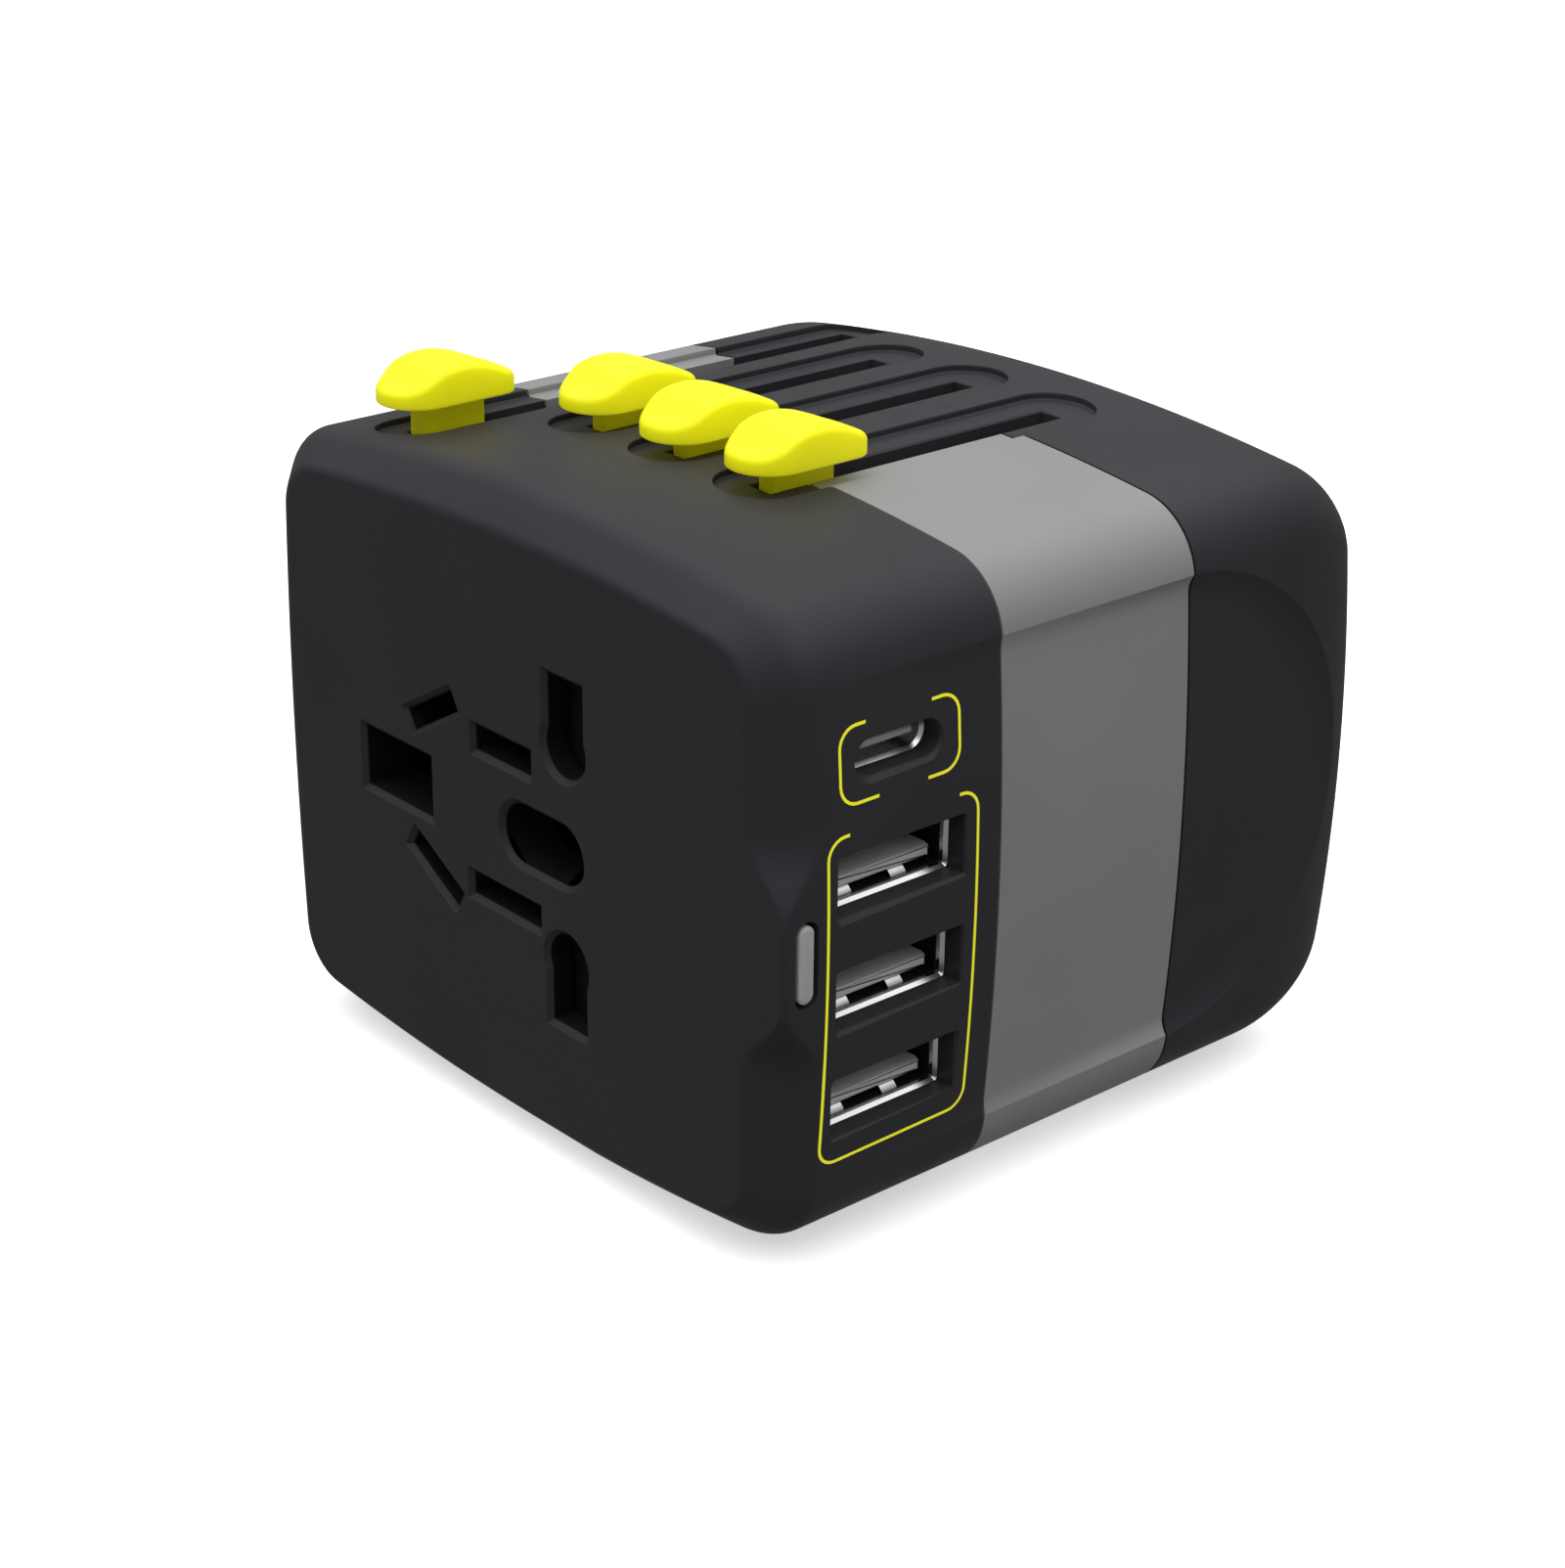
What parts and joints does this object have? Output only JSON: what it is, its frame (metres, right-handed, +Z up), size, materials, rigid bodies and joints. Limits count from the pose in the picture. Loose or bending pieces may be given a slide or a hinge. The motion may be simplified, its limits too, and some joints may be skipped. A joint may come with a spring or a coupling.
{
  "type": "universal travel adapter",
  "caption": "Block-shaped mains travel adapter with a universal socket face, USB outlets on one side and thumb sliders that push plug pins out of the back.",
  "frame": {"origin": "middle of the flat underside", "axes": "+Z up towards the thumb sliders, -Y out of the socket face, +Y the way the plug pins come out, +X out of the USB side"},
  "size_m": [0.0668, 0.0632, 0.0584],
  "materials": {
    "dark_plastic": "fine matte moulding",
    "silver_plastic": "satin grey",
    "yellow_plastic": "satin",
    "inner_plastic": "plain moulding",
    "pale_plastic": "plain moulding",
    "light_pipe": "cloudy translucent",
    "pin_metal": "nickel plated",
    "contact_metal": "stamped",
    "steel": "bright",
    "circuit_board": "solder mask",
    "winding": "tape"
  },
  "bodies": {
    "housing": {"front_shell": "dark_plastic", "side_band": "silver_plastic", "rear_shell": "dark_plastic", "shutter_spring": "steel", "socket_core": "inner_plastic", "live_contact": "contact_metal", "neutral_contact": "contact_metal", "earth_contact": "contact_metal", "contact_retainer": "pale_plastic", "usb_a_shell_1": "steel", "usb_a_shell_2": "steel", "usb_a_shell_3": "steel", "usb_a_tongue_1": "pale_plastic", "usb_a_tongue_2": "pale_plastic", "usb_a_tongue_3": "pale_plastic", "usb_c_shell": "steel", "usb_c_tongue": "inner_plastic", "usb_board": "circuit_board", "power_board": "circuit_board", "transformer": "winding", "capacitor_upper": "inner_plastic", "capacitor_lower": "inner_plastic", "status_led": "pale_plastic", "status_light": "light_pipe", "fuse": "pale_plastic", "fuse_clip_front": "contact_metal", "fuse_clip_rear": "contact_metal", "live_bus_bar": "contact_metal", "neutral_bus_bar": "contact_metal", "case_screw_1": "steel", "case_screw_2": "steel", "case_screw_3": "steel", "case_screw_4": "steel"},
    "uk_set": {"slider_uk": "yellow_plastic", "carriage_uk": "inner_plastic", "uk_live_pin": "pin_metal", "uk_neutral_pin": "pin_metal", "uk_earth_pin": "pin_metal"},
    "us_set": {"slider_us": "yellow_plastic", "carriage_us": "inner_plastic", "us_blade_left": "pin_metal", "us_blade_right": "pin_metal"},
    "eu_set": {"slider_eu": "yellow_plastic", "carriage_eu": "inner_plastic", "eu_pin_left": "pin_metal", "eu_pin_right": "pin_metal"},
    "au_set": {"slider_au": "yellow_plastic", "carriage_au": "inner_plastic", "au_blade_left": "pin_metal", "au_blade_right": "pin_metal"},
    "shutter": {"shutter": "inner_plastic"}
  },
  "joints": [
    {"name": "uk_slide", "type": "slide", "parent": "housing", "child": "uk_set", "axis": [0, 1, 0], "range_m": [0, 0.0384]},
    {"name": "us_slide", "type": "slide", "parent": "housing", "child": "us_set", "axis": [0, 1, 0], "range_m": [0, 0.0243]},
    {"name": "eu_slide", "type": "slide", "parent": "housing", "child": "eu_set", "axis": [0, 1, 0], "range_m": [0, 0.0243]},
    {"name": "au_slide", "type": "slide", "parent": "housing", "child": "au_set", "axis": [0, 1, 0], "range_m": [0, 0.0243]},
    {"name": "shutter_slide", "type": "slide", "parent": "housing", "child": "shutter", "axis": [1, 0, 0], "range_m": [0, 0.0062], "stiffness_N_per_m": 150, "springref_m": -0.002, "deforming": ["shutter_spring"]}
  ]
}
